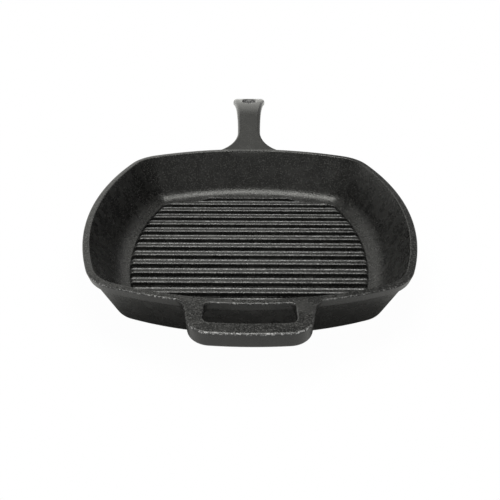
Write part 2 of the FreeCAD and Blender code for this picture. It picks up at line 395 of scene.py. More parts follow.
def rounded(stops: Sequence[Stop], closed: bool = False) -> list[WornAndHighlit]:
    """Ease the corners of a run of straight lines.

    Args:
        stops: The run's corners in order.
        closed: True where the last corner joins the first.

    Returns:
        Points as (across, along, paleness from being worn and from painted highlight).
    """
    points: list[WornAndHighlit] = []
    for index, stop in enumerate(stops):
        is_end = not closed and index in (0, len(stops) - 1)
        if is_end or stop.radius <= 0.0:
            points.append((stop.across, stop.along, stop.wear_and_highlight))
            continue
        here = Vector((stop.across, stop.along))
        before = stops[index - 1]
        after = stops[(index + 1) % len(stops)]
        back = (Vector((before.across, before.along)) - here).normalized()
        on = (Vector((after.across, after.along)) - here).normalized()
        half = math.acos(max(-1.0, min(1.0, back.dot(on)))) / 2.0
        centre = here + (back + on).normalized() * (stop.radius / math.sin(half))
        first = here + back * (stop.radius / math.tan(half)) - centre
        last = here + on * (stop.radius / math.tan(half)) - centre
        start = math.atan2(first.y, first.x)
        turn = math.remainder(math.atan2(last.y, last.x) - start, 2.0 * math.pi)
        for step, point in enumerate(arc_points(centre, stop.radius, start, start + turn, stop.steps)):
            bulge = math.sin(math.pi * step / stop.steps)
            points.append((*point, stop.wear_and_highlight * bulge**WEAR_AND_HIGHLIGHT_FOCUS))
    return points


def moved_out(loop: Sequence[Plan], distance: float | np.ndarray) -> list[Plan]:
    """Move a closed anticlockwise loop outwards.

    Args:
        loop: The loop's points.
        distance: How far, as one value or one a point.

    Returns:
        The moved points.
    """
    points = np.array(loop)
    edge = np.roll(points, -1, axis=0) - points
    edge /= np.linalg.norm(edge, axis=1)[:, None]
    normal = np.stack([edge[:, 1], -edge[:, 0]], axis=1)
    before = np.roll(normal, 1, axis=0)
    shared = 1.0 + np.sum(normal * before, axis=1)
    step = np.broadcast_to(distance, len(points)) / np.maximum(shared, MITRE_LIMIT)
    moved = points + (normal + before) * step[:, None]
    return [tuple(point) for point in moved]


def inside(points: np.ndarray, loop: Sequence[Plan]) -> np.ndarray:
    """Find which of some plan points lie inside a closed loop.

    Args:
        points: Rows of plan points.
        loop: The loop's points.

    Returns:
        True or False for each row.
    """
    start = np.array(loop)
    end = np.roll(start, -1, axis=0)
    x = points[:, 0][:, None]
    y = points[:, 1][:, None]
    spans = (start[:, 1] > y) != (end[:, 1] > y)
    rise = np.where(end[:, 1] == start[:, 1], 1.0, end[:, 1] - start[:, 1])
    cross = start[:, 0] + (y - start[:, 1]) * (end[:, 0] - start[:, 0]) / rise
    return (np.sum(spans & (x < cross), axis=1) % 2).astype(bool)


def between(points: np.ndarray, outer: Sequence[Plan], hole: Sequence[Plan], gap: float) -> np.ndarray:
    """Pick the plan points that lie between two loops.

    Args:
        points: Rows of plan points.
        outer: The loop that they lie inside.
        hole: The loop that they lie outside.
        gap: How far they keep from every point of both.

    Returns:
        The rows that do.
    """
    apart = points[:, None, :] - np.array([*outer, *hole])[None, :, :]
    clear = np.min(np.linalg.norm(apart, axis=2), axis=1) > gap
    return points[inside(points, outer) & ~inside(points, hole) & clear]


class CastSkin:
    """Points and faces of one closed casting, gathered loop by loop."""

    def __init__(self) -> None:
        """Start with nothing."""
        self.points: list[Space] = []
        self.wear_and_highlight: list[float] = []
        self.faces: list[tuple[int, ...]] = []

    def loop(self, points: Sequence[Space], wear_and_highlight: float | np.ndarray = 0.0) -> list[int]:
        """Add a loop of points.

        Args:
            points: The points in order.
            wear_and_highlight: How pale they are, worn and with a painted highlight, as one value or one a
                point.

        Returns:
            The points' numbers.
        """
        first = len(self.points)
        self.points.extend(points)
        self.wear_and_highlight.extend(np.broadcast_to(wear_and_highlight, len(points)).tolist())
        return list(range(first, len(self.points)))

    def plan(self, numbers: Sequence[int]) -> list[Plan]:
        """Plan points of some numbered points."""
        return [self.points[number][:2] for number in numbers]

    def bands(self, loops: Sequence[Sequence[int]]) -> None:
        """Join each closed loop to the next with four-sided faces.

        Args:
            loops: Loops of the same count, in order.
        """
        for first, second in pairwise(loops):
            for index, start in enumerate(first):
                after = (index + 1) % len(first)
                self.faces.append((start, first[after], second[after], second[index]))

    def cap(
        self,
        outer: Sequence[int],
        holes: Sequence[Sequence[int]] = (),
        inner: Sequence[Space] = (),
    ) -> None:
        """Fill the space between loops with triangles.

        Args:
            outer: The loop that bounds the face.
            holes: Loops that stay open.
            inner: Points between them that the face passes through.
        """
        loops = [outer, *holes]
        numbers = [number for one in loops for number in one] + self.loop(inner)
        edges: list[tuple[int, int]] = []
        for one in loops:
            first = len(edges)
            edges += [(first + index, first + (index + 1) % len(one)) for index in range(len(one))]
        flat = [Vector(point) for point in self.plan(numbers)]
        made, _, faces, origin, _, _ = delaunay_2d_cdt(flat, edges, [], 0, SAME_POINT)
        middles = np.array([sum((made[n] for n in face), Vector((0, 0))) / len(face) for face in faces])
        keep = inside(middles, self.plan(outer))
        for hole in holes:
            keep &= ~inside(middles, self.plan(hole))
        for face, wanted in zip(faces, keep):
            if wanted:
                self.faces.append(tuple(numbers[origin[n][0]] for n in face))

    def piece(self, name: str, finish: bpy.types.Material) -> bpy.types.Object:
        """Make the closed mesh object at the origin, in metres.

        Args:
            name: Name of the piece.
            finish: Its material.

        Returns:
            The new object, linked to the scene.
        """
        mesh = bpy.data.meshes.new(name)
        mesh.from_pydata([tuple(c * MM for c in point) for point in self.points], [], self.faces)
        mesh.attributes.new(WEAR_AND_HIGHLIGHT, "FLOAT", "POINT").data.foreach_set("value", self.wear_and_highlight)
        return dressed(mesh, name, finish)


def linked(name: str, data: bpy.types.ID) -> bpy.types.Object:
    """Make an object of some data and link it to the scene.

    Args:
        name: Name of the object.
        data: Its mesh, camera or lamp.

    Returns:
        The new object.
    """
    made = bpy.data.objects.new(name, data)
    bpy.context.scene.collection.objects.link(made)
    return made


def plain_mesh(source: bpy.types.Object) -> bpy.types.Mesh:
    """The mesh that an object's modifiers give."""
    graph = bpy.context.evaluated_depsgraph_get()
    return bpy.data.meshes.new_from_object(source.evaluated_get(graph), depsgraph=graph)


def dressed(mesh: bpy.types.Mesh, name: str, finish: bpy.types.Material) -> bpy.types.Object:
    """Turn a raw mesh into a smooth, outward-facing piece.

    Args:
        mesh: The raw mesh, which is used up.
        name: Name of the piece.
        finish: Its one material.

    Returns:
        The new object, linked to the scene.
    """
    work = bmesh.new()
    work.from_mesh(mesh)
    loose = [vertex for vertex in work.verts if not vertex.link_faces]
    bmesh.ops.delete(work, geom=loose, context="VERTS")
    bmesh.ops.recalc_face_normals(work, faces=work.faces)
    work.to_mesh(mesh)
    work.free()
    mesh.shade_smooth()
    mesh.materials.clear()
    mesh.materials.append(finish)
    made = linked(name, mesh)
    flat_first = made.modifiers.new("flat_faces_lead", "WEIGHTED_NORMAL")
    flat_first.weight = FLAT_LEAD
    flat_first.keep_sharp = True
    settled = plain_mesh(made)
    made.modifiers.clear()
    made.data = settled
    bpy.data.meshes.remove(mesh)
    settled.name = name
    return made


@dataclass(frozen=True)
class RimOutline:
    """Plan of the pan: four bowed sides with round corners; every inset is concentric."""

    half_width: float
    half_length: float
    bow_radius: float = 272.0
    corner_radius: float = 38.09
    side_steps: int = 60
    corner_steps: int = 18

    @property
    def bow_offset(self) -> float:
        """How far past the pan's middle the bow of its front or back has its centre."""
        return self.bow_radius - self.half_length

    def arcs(self) -> list[Arc]:
        """Work out the outline's eight arcs.

        Returns:
            Each arc's centre, radius, start and end angle and steps, anticlockwise.
        """
        east = Vector((self.half_width - self.bow_radius, 0.0))
        north = Vector((0.0, -self.bow_offset))
        reach = self.bow_radius - self.corner_radius
        outward = Vector((-north.y, -east.x)).normalized()
        rise = math.sqrt(reach**2 - ((east - north).length / 2.0) ** 2)
        corner = (east + north) / 2.0 + outward * rise
        side = math.atan2(corner.y, corner.x - east.x)
        end = math.atan2(corner.y - north.y, corner.x)
        half = [
            (tuple(east), self.bow_radius, -side, side, self.side_steps),
            (tuple(corner), self.corner_radius, side, end, self.corner_steps),
            (tuple(north), self.bow_radius, end, math.pi - end, self.side_steps),
            ((-corner.x, corner.y), self.corner_radius, math.pi - end, math.pi - side, self.corner_steps),
        ]
        return half + [((-c[0], -c[1]), r, a + math.pi, b + math.pi, n) for c, r, a, b, n in half]

    def spokes(self) -> np.ndarray:
        """Give each point of a loop its arc's centre, radius and angle, and its flank share.

        Returns:
            Rows whose last value is 1 on the left and right sides and 0 at the front and back.
        """
        # Flank share at the start and end of each arc.
        shares = ((1.0, 1.0), (1.0, 0.0), (0.0, 0.0), (0.0, 1.0)) * 2
        rows = []
        for (centre, radius, start, end, steps), (first, last) in zip(self.arcs(), shares):
            for part in np.arange(steps) / steps:
                rows.append((*centre, radius, start + (end - start) * part, first + (last - first) * part))
        return np.array(rows)

    def ring(self, inset: float | np.ndarray) -> list[Plan]:
        """The outline moved in by one inset or one a point, as a closed anticlockwise loop."""
        x, y, radius, angle, _ = self.spokes().T
        return list(zip(x + (radius - inset) * np.cos(angle), y + (radius - inset) * np.sin(angle)))

    def inset_at(self, x: float, y: float) -> float:
        """How far a point lies in from the nearest bowed side."""
        side = math.hypot(abs(x) - self.half_width + self.bow_radius, y)
        return self.bow_radius - max(side, math.hypot(x, abs(y) + self.bow_offset))


@dataclass(frozen=True)
class WallSection:
    """Leaning wall with a thickened lip, as insets from the rim's outer edge."""

    rim_height: float
    rim_top_width: float = 5.6
    lean: float = math.radians(24.5)
    thickness: float = 4.5
    lip_height: float = 7.0
    lip_taper: float = 2.0
    underside_height: float = 2.2

    @property
    def lip_bottom(self) -> float:
        """Height of the lip's lower edge."""
        return self.rim_height - self.lip_height

    @property
    def lip_foot(self) -> float:
        """Height at which the lip's underside meets the wall."""
        return self.lip_bottom - self.underside_height

    @property
    def heel_turn(self) -> float:
        """Angle through which a heel turns from level into the wall."""
        return math.pi / 2.0 - self.lean

    def inner(self, height: float) -> float:
        """Inset of the wall's inner face at a height."""
        return self.rim_top_width + (self.rim_height - height) * math.tan(self.lean)

    def outer(self, height: float) -> float:
        """Inset of the wall's outer face at a height, without the lip."""
        return self.inner(height) - self.thickness / math.cos(self.lean)

    def outside(self, height: float) -> float:
        """Inset of what shows on the outside at a height, the lip included."""
        heights = (self.lip_foot, self.lip_bottom, self.rim_height)
        return float(np.interp(height, heights, (self.outer(self.lip_foot), self.lip_taper, 0.0)))


@dataclass
class Bowl:
    """Base, heel, wall, lip and floor border in one skin, with the ribs' bed sunk in it.

    bed_corner runs along the bed's right rear corner, from its side to the short groove at its end.
    border_rings are the first and last inset of the rings of points on the border, and their step.
    """

    outline: RimOutline
    wall: WallSection
    bed_height: float = 3.8
    border_height: float = 7.18
    base_run: float = 1.5
    outer_heel: float = 17.0
    inner_heel: float = 14.0
    flank_heel: float = 20.0
    flank_blend: Span = (-4.0, 4.0)
    lip_round: float = 1.1
    rim_inner_round: float = 1.3
    lip_lower_round: float = 1.6
    lip_lower_wear_and_highlight: float = 0.1
    underlip_round: float = 3.0
    # Where the rim's outer edge is pale: worn at the front and painted with a highlight that is strongest
    # at the left.
    rub_and_highlight_front: Span = (90.0, 118.0)
    rub_and_highlight_sides: Span = (-60.0, 60.0)
    rub_and_highlight_shares: Span = (1.0, 0.5)
    border_inset: float = 30.2
    border_rings: Space = (31.0, 36.5, 0.8)
    border_gap: float = 0.7
    bed_side_margin: float = 34.5
    bed_side_end: float = 86.8
    bed_corner: tuple[Stop, ...] = (
        Stop(81.0, 90.9, 2.0),
        Stop(75.0, 92.0),
        Stop(66.0, 93.6),
        Stop(58.0, 94.2, 2.0),
        Stop(53.4, 95.4),
        Stop(43.0, 104.2, 2.5),
    )
    bed_end_spots: tuple[float, ...] = (30.0, 15.0, 0.0, -15.0, -30.0)
    bed_end: Span = (88.0, 95.0)
    bed_edge_round: float = 1.1
    bed_foot_round: float = 1.0
    bed_draft: float = 0.5
    end_crispness: float = 0.4
    nodes: tuple[str, ...] = ("base_plate", "floor_border", "floor_heel", "side_wall", "rim_lip")

    def floor_inset(self, heel_radius: float) -> float:
        """Inset at which an inner heel of that radius meets the level border."""
        return self.wall.inner(self.border_height) + heel_radius * math.tan(self.wall.heel_turn / 2.0)

    def section(self, heel_radius: float) -> list[WornAndHighlit]:
        """Draw the wall's section from the base, up outside, over the rim and down to the floor.

        Args:
            heel_radius: Radius of the inner heel.

        Returns:
            Points as (inset, height, paleness from being worn and from painted highlight).
        """
        wall = self.wall
        foot = wall.lip_foot
        base = wall.outer(0.0)
        down = -math.pi / 2.0
        centre = (self.floor_inset(heel_radius), self.border_height + heel_radius)
        end = down - math.asin((centre[0] - self.border_inset) / heel_radius)
        heel = arc_points(centre, heel_radius, down - wall.heel_turn, end, steps=14)
        run = [
            Stop(base + self.outer_heel * math.tan(wall.heel_turn / 2.0) + self.base_run, 0.0),
            Stop(base, 0.0, self.outer_heel, steps=12),
            Stop(wall.outer(foot), foot, self.underlip_round),
            Stop(wall.lip_taper, wall.lip_bottom, self.lip_lower_round, self.lip_lower_wear_and_highlight),
            Stop(0.0, wall.rim_height, self.lip_round, wear_and_highlight=1.0),
            Stop(wall.rim_top_width, wall.rim_height, self.rim_inner_round),
            Stop(*heel[0]),
        ]
        return rounded(run) + [(inset, height, 0.0) for inset, height in heel[1:]]

    def edge_rub_and_highlight(self, x: float, y: float) -> float:
        """How pale the rim's outer edge is: worn at the front, where it knocks against other pans, and
        painted with a highlight that is strongest at the left.
        """
        front = np.interp(-y, self.rub_and_highlight_front, (0.0, 1.0))
        return float(front * np.interp(x, self.rub_and_highlight_sides, self.rub_and_highlight_shares))

    def floor_at(self, x: float, y: float) -> float:
        """Find the border's height, which rises a little where the heel begins.

        Args:
            x: Place across the pan.
            y: Place along the pan.

        Returns:
            The height.
        """
        heel = float(np.interp(abs(x) - abs(y), self.flank_blend, (self.inner_heel, self.flank_heel)))
        into = max(0.0, self.floor_inset(heel) - self.outline.inset_at(x, y))
        return self.border_height + heel - math.sqrt(heel**2 - into**2)

    def bed_outline(self) -> list[Plan]:
        """Draw the plan of the ribs' bed, with a short groove at each end.

        Returns:
            Closed anticlockwise loop of points on the middle of the bed's side.
        """
        reach = self.outline.bow_radius - self.bed_side_margin
        centre = (self.outline.half_width - self.outline.bow_radius, 0.0)
        turn = math.asin(self.bed_side_end / reach)
        side = [Stop(*point) for point in arc_points(centre, reach, -turn, turn, steps=70)]
        corner = list(self.bed_corner)
        middle = [Stop(x, corner[-1].along) for x in self.bed_end_spots]
        right = [Stop(s.across, -s.along, s.radius) for s in reversed(corner)] + side + corner
        left = [Stop(-s.across, s.along, s.radius) for s in reversed(right)]
        near = [Stop(-s.across, -s.along) for s in middle]
        return [(x, y) for x, y, _ in rounded(right + middle + left + near, closed=True)]

    def sink_bed(self, skin: CastSkin) -> list[int]:
        """Add the bed's rounded edge, its side and its floor.

        Args:
            skin: The bowl's skin, which gains them.

        Returns:
            Numbers of the points on the bed's upper edge.
        """
        depth = self.border_height - self.bed_height
        run = [
            Stop(self.bed_draft + self.bed_edge_round + LEAD, 0.0),
            Stop(self.bed_draft, 0.0, self.bed_edge_round, wear_and_highlight=1.0, steps=6),
            Stop(-self.bed_draft, -depth, self.bed_foot_round, steps=4),
            Stop(-self.bed_draft - self.bed_foot_round - LEAD, -depth),
        ]
        bed = self.bed_outline()
        at_end = np.interp([abs(y) for _, y in bed], self.bed_end, (0.0, 1.0))
        loops = []
        for out, drop, wear_and_highlight in rounded(run)[1:-1]:
            plan = moved_out(bed, out * (1.0 - self.end_crispness * at_end))
            share = 1.0 + drop / depth
            rises = [self.floor_at(x, y) - self.border_height for x, y in plan]
            level = self.border_height + drop
            placed = [(x, y, level + rise * share) for (x, y), rise in zip(plan, rises)]
            # The bed's upper edge is pale only at the short end grooves: a painted highlight on their
            # slanted ends.
            loops.append(skin.loop(placed, wear_and_highlight * at_end))
        skin.bands(loops)
        skin.cap(loops[-1])
        return loops[0]

    def build(self, finish: bpy.types.Material) -> bpy.types.Object:
        """Make the bowl's mesh.

        Args:
            finish: The material of the casting.

        Returns:
            The bowl as one closed piece.
        """
        skin = CastSkin()
        loops = []
        flank = self.outline.spokes()[:, -1]
        for end, side in zip(self.section(self.inner_heel), self.section(self.flank_heel)):
            inset, height = (a + (b - a) * flank for a, b in zip(end[:2], side[:2]))
            placed = [(*point, z) for point, z in zip(self.outline.ring(inset), height.tolist())]
            # The rim's outer edge is pale at the front, worn and painted with a highlight.
            loops.append(skin.loop(placed, end[2] * np.array([self.edge_rub_and_highlight(x, y) for x, y, _ in placed])))
        skin.bands(loops)
        skin.cap(loops[0])
        bed = self.sink_bed(skin)
        rim = loops[-1]
        spots = np.array([p for inset in np.arange(*self.border_rings) for p in self.outline.ring(inset)])
        spots = between(spots, skin.plan(rim), skin.plan(bed), self.border_gap)
        skin.cap(rim, [bed], [(x, y, self.floor_at(x, y)) for x, y in spots])
        return skin.piece("bowl", finish)


@dataclass
class GrillRibs:
    """Fourteen ribs across the floor, each end let into the bowed border."""

    outline: RimOutline
    bed_height: float
    count: int = 14
    pitch: float = 14.4
    top_width: float = 7.3
    height: float = 3.3
    draft: float = math.radians(8.0)
    edge_round: float = 1.3
    edge_steps: int = 6
    sink: float = 1.2
    margin: float = 34.3
    ramp_length: float = 2.6
    ramp_drop: float = 1.0
    stations: int = 80

    @property
    def nodes(self) -> tuple[str, ...]:
        """Names of the CAD ribs that the piece stands for."""
        return tuple(f"rib_{number:02d}" for number in range(1, self.count + 1))

    def sizes(self, finish: bpy.types.Material) -> dict[str, tuple[str, object]]:
        """List the tree's named inputs.

        Args:
            finish: The material of the ribs.

        Returns:
            Each input's socket type and value, lengths in metres.
        """
        bow = self.outline.bow_radius
        tall = self.height + self.sink
        lengths = {
            "Pitch": self.pitch,
            "Top Width": self.top_width,
            "Foot Width": self.top_width + 2.0 * tall * math.tan(self.draft),
            "Height": tall,
            "Edge Round": self.edge_round,
            "Top Level": self.bed_height + self.height,
            "Bow Radius": bow - self.margin,
            "Side Centre": bow - self.outline.half_width,
            "End Centre": self.outline.bow_offset,
            "Ramp Length": self.ramp_length,
            "Ramp Drop": self.ramp_drop,
        }
        named = {name: ("NodeSocketFloat", value * MM) for name, value in lengths.items()}
        counts = {"Count": self.count, "Stations": self.stations, "Edge Steps": self.edge_steps}
        named |= {name: ("NodeSocketInt", value) for name, value in counts.items()}
        named["Finish"] = ("NodeSocketMaterial", finish)
        return named

    def tree(self, named: dict[str, tuple[str, object]]) -> bpy.types.NodeTree:
        """Geometry Nodes that sweep one bar, repeat it and fit the ends to the border.

        Args:
            named: The inputs to give the tree.

        Returns:
            The node tree.
        """
        tree = bpy.data.node_groups.new("grill_rib_rows", "GeometryNodeTree")
        tree.interface.new_socket("Geometry", in_out="OUTPUT", socket_type="NodeSocketGeometry")
        for name, (kind, _) in named.items():
            tree.interface.new_socket(name, in_out="INPUT", socket_type=kind)
        board = Board(tree)
        given = board.node("NodeGroupInput")
        size = {name: Wire(board, given.outputs[name]) for name in named}

        line = board.wire("GeometryNodeCurvePrimitiveLine", {}, {"Start": (-1, 0, 0), "End": (1, 0, 0)})
        line = board.wire("GeometryNodeResampleCurve", {}, {"Curve": line, "Count": size["Stations"]})
        # The sweep turns the section over, so its bottom is the rib's top.
        trapezoid = {
            "Height": size["Height"],
            "Bottom Width": size["Top Width"],
            "Top Width": size["Foot Width"],
            "Offset": 0.0,
        }
        section = board.wire("GeometryNodeCurvePrimitiveQuadrilateral", {"mode": "TRAPEZOID"}, trapezoid)
        fillet = {
            "Curve": section,
            "Count": size["Edge Steps"],
            "Radius": size["Edge Round"],
            "Limit Radius": True,
        }
        section = board.wire("GeometryNodeFilletCurve", {"mode": "POLY"}, fillet)
        sweep = {"Curve": line, "Profile Curve": section, "Fill Caps": True}
        bar = board.wire("GeometryNodeCurveToMesh", {}, sweep)
        beside = board.parts(board.wire("GeometryNodeInputPosition"))[1]
        bar = board.wire(
            "GeometryNodeStoreNamedAttribute",
            {"data_type": "FLOAT", "domain": "POINT"},
            {"Geometry": bar, "Name": BESIDE, "Value": beside},
        )
        start = -0.5 * size["Pitch"] * (size["Count"] - 1.0)
        spacing = {
            "Count": size["Count"],
            "Start Location": board.wire("ShaderNodeCombineXYZ", {}, {"Y": start}),
            "Offset": board.wire("ShaderNodeCombineXYZ", {}, {"Y": size["Pitch"]}),
        }
        rows = board.wire("GeometryNodeMeshLine", {"mode": "OFFSET"}, spacing)
        bars = board.wire("GeometryNodeInstanceOnPoints", {}, {"Points": rows, "Instance": bar})
        bars = board.wire("GeometryNodeRealizeInstances", {}, {"Geometry": bars})

        place, row, level = board.parts(board.wire("GeometryNodeInputPosition"))
        # Stations crowd towards the ends, where a rib dips into the border.
        share = place * (1.5 - 0.5 * place * place)
        square = size["Bow Radius"] * size["Bow Radius"]
        out = abs(row) + size["End Centre"]
        to_side = (square - row * row).root() - size["Side Centre"]
        reach = to_side.least((square - out * out).root())
        left = reach * (1.0 - abs(share))
        drop = size["Ramp Drop"] * (1.0 - left.ease(0.0, size["Ramp Length"]))
        height = level + size["Top Level"] - 0.5 * size["Height"] - drop
        fitted = board.wire("ShaderNodeCombineXYZ", {}, {"X": share * reach, "Y": row, "Z": height})
        bars = board.wire("GeometryNodeSetPosition", {}, {"Geometry": bars, "Position": fitted})
        bars = board.wire("GeometryNodeSetMaterial", {}, {"Geometry": bars, "Material": size["Finish"]})
        board.node("NodeGroupOutput", {}, {0: bars})
        return tree

    def build(self, finish: bpy.types.Material) -> bpy.types.Object:
        """Run the tree and keep its plain mesh.

        Args:
            finish: The material of the ribs.

        Returns:
            All ribs as one piece.
        """
        named = self.sizes(finish)
        tree = self.tree(named)
        holder = linked("rib_rows", bpy.data.meshes.new("rib_rows"))
        rows = holder.modifiers.new("rib_rows", "NODES")
        rows.node_group = tree
        for item in tree.interface.items_tree:
            if item.in_out == "INPUT":
                rows[item.identifier] = named[item.name][1]
        mesh = plain_mesh(holder)
        holder.modifiers.clear()
        bpy.data.objects.remove(holder)
        return dressed(mesh, "grill_ribs", finish)


def edge_steps(
    thickness: float, top: float, bottom: float, draft: float = 0.0, wear_and_highlight: float = 1.0
) -> list[WornAndHighlit]:
    """Loops down a handle's side whose upper and lower edges are rounded.

    Args:
        thickness: Full depth of the side.
        top: Radius of the upper edge.
        bottom: Radius of the lower edge.
        draft: How far the lower edge lies in from the upper.
        wear_and_highlight: How pale the upper edge is, worn and with a painted highlight; the lower one is
            less so.

    Returns:
        The loops from top to bottom: how far in from the outline, how deep, how pale from being worn and
            from painted highlight.
    """
    run = [
        Stop(top + LEAD, 0.0),
        Stop(0.0, 0.0, top, wear_and_highlight, steps=8),
        Stop(draft, thickness, bottom, LOWER_WEAR_AND_HIGHLIGHT * wear_and_highlight, steps=6),
        Stop(draft + bottom + LEAD, thickness),
    ]
    return rounded(run)[1:-1]


def flare(half: float, fillet: float, circle: float, steps: int) -> list[Plan]:
    """Draw the right-hand fillet between the pan's side and a handle's.

    Args:
        half: Half the handle's width.
        fillet: Radius of the fillet.
        circle: Radius of the pan's side.
        steps: Steps of the arc.

    Returns:
        Points from the pan's side to the handle's, where they run along +v.
    """
    centre = (half + fillet, math.sqrt((circle + fillet) ** 2 - (half + fillet) ** 2))
    start = math.atan2(-centre[1], -centre[0])
    return arc_points(centre, fillet, start, -math.pi, steps)


def turned(points: Sequence[Plan], angle: float) -> list[Plan]:
    """Points turned about the centre of a side's bow, so that an upright side leans inwards."""
    across, along = math.cos(angle), math.sin(angle)
    return [(u * across - v * along, u * along + v * across) for u, v in points]


def bowed_corner(half: float, circle: float, corner: float, lean: float = 0.0) -> list[Plan]:
    """Draw the right-hand corner between a side and a bowed end, and half that end.

    Args:
        half: Distance of the side from the bow's centre before it leans.
        circle: Radius of the end's bow.
        corner: Radius of the corner.
        lean: Angle by which the side leans inwards.

    Returns:
        Points from the side almost to the middle of the end.
    """
    centre = (half - corner, math.sqrt((circle - corner) ** 2 - (half - corner) ** 2))
    end = math.atan2(centre[1], centre[0])
    bow = arc_points((0.0, 0.0), circle, end, math.pi / 2.0 - lean, steps=16)
    return turned(arc_points(centre, corner, 0.0, end, steps=16) + bow[1:-1], lean)


def both_sides(right: Sequence[Plan], hidden: float) -> list[Plan]:
    """A right-hand run, after a root at a share of its first point, and back down its mirror image."""
    whole = [(right[0][0] * hidden, right[0][1] * hidden), *right]
    return whole + [(-u, v) for u, v in reversed(whole)]


@dataclass
class HelperLoop:
    """Short level loop at the front, with an opening for the fingers against the rim."""

    outline: RimOutline
    wall: WallSection
    width: float = 83.8
    side_lean: float = math.radians(12.0)
    reach: float = 31.4
    thickness: float = 12.2
    corner_radius: float = 17.0
    root_fillet: float = 9.0
    slot_length: float = 61.5
    slot_width: float = 19.8
    slot_corner: float = 5.0
    slot_root: float = 4.0
    upper_round: float = 1.6
    lower_round: float = 2.4
    draft: float = 0.6
    root_depth: float = 4.0
    proud: float = 0.03
    front_band: float = 2.0
    # Paleness of the loop's edges from the slot to the front: worn, with a painted highlight that is
    # strongest on the front edge.
    bar_wear_and_highlight: Span = (0.2, 1.9)
    nodes: tuple[str, ...] = ("helper_handle",)

    def edge_rub_and_highlight(self, v: float) -> float:
        """How pale an edge is at v, worn and with a painted highlight; the front edge, which other pans
        touch and the light catches, is palest.
        """
        bar = (self.slot_width, self.reach - self.front_band)
        return float(np.interp(v - self.outline.bow_radius, bar, self.bar_wear_and_highlight))

    def plan(self, circle: float, inward: float) -> list[Plan]:
        """Anticlockwise outline of the loop.

        Args:
            circle: Radius of the pan's side at this height.
            inward: How far the outline is drawn in from the loop's full size.

        Returns:
            Closed loop of (u, v) points; its ends run on inside the wall.
        """
        bow = self.outline.bow_radius
        lean = self.side_lean
        middle_reach = bow + self.reach / 2.0
        half = self.width / 2.0 * math.cos(lean) + middle_reach * math.sin(lean) - inward
        outer = turned(flare(half, self.root_fillet + inward, circle - inward, steps=14), lean)
        outer += bowed_corner(half, bow + self.reach - inward, self.corner_radius - inward, lean)
        slot = self.slot_length / 2.0 + inward
        root = self.slot_root + inward
        centre = (slot - root, math.sqrt((circle - inward + root) ** 2 - (slot - root) ** 2))
        inner = arc_points(centre, root, math.atan2(-centre[1], -centre[0]), 0.0, steps=8)
        inner += bowed_corner(slot, bow + self.slot_width + inward, self.slot_corner + inward)
        hidden = (circle - self.root_depth) / (circle - inward)
        return both_sides(outer, hidden) + both_sides(inner, hidden)[::-1]

    def build(self, finish: bpy.types.Material) -> bpy.types.Object:
        """Make the loop's mesh.

        Args:
            finish: The material of the handles.

        Returns:
            The loop as one closed piece.
        """
        skin = CastSkin()
        centre = self.outline.bow_offset
        loops = []
        steps = edge_steps(self.thickness, self.upper_round, self.lower_round, self.draft)
        for inward, depth, wear_and_highlight in steps:
            height = self.wall.rim_height + self.proud - depth
            plan = self.plan(self.outline.bow_radius - self.wall.outside(height), inward)
            rub_and_highlight = wear_and_highlight * np.array([self.edge_rub_and_highlight(v) for _, v in plan])
            loops.append(skin.loop([(-u, centre - v, height) for u, v in plan], rub_and_highlight))
        skin.bands(loops)
        skin.cap(loops[0])
        skin.cap(loops[-1])
        return skin.piece("helper_loop", finish)


